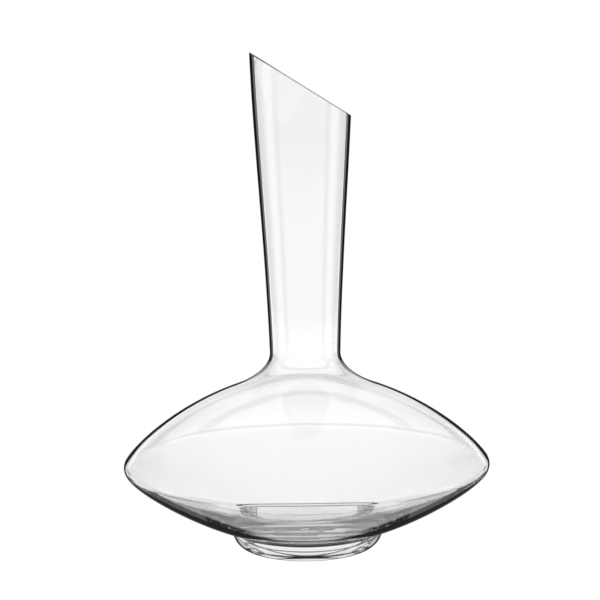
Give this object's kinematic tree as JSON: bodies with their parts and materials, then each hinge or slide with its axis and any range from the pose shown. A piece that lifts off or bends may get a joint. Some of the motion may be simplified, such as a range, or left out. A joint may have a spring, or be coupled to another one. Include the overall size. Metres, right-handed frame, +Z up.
{
  "type": "wine decanter",
  "caption": "Clear glass wine decanter with a wide low bowl, a tall flared neck cut on a slant at the mouth, and a short ring foot.",
  "frame": {"origin": "on the table, under the middle of the bowl", "axes": "+Z up along the neck; the mouth's high side faces -X and its low side +X"},
  "size_m": [0.2, 0.2, 0.2704],
  "materials": {
    "vessel_glass": "clear polished",
    "foot_glass": "clear polished"
  },
  "bodies": {
    "root": {"vessel": "vessel_glass", "foot": "foot_glass"}
  },
  "joints": []
}
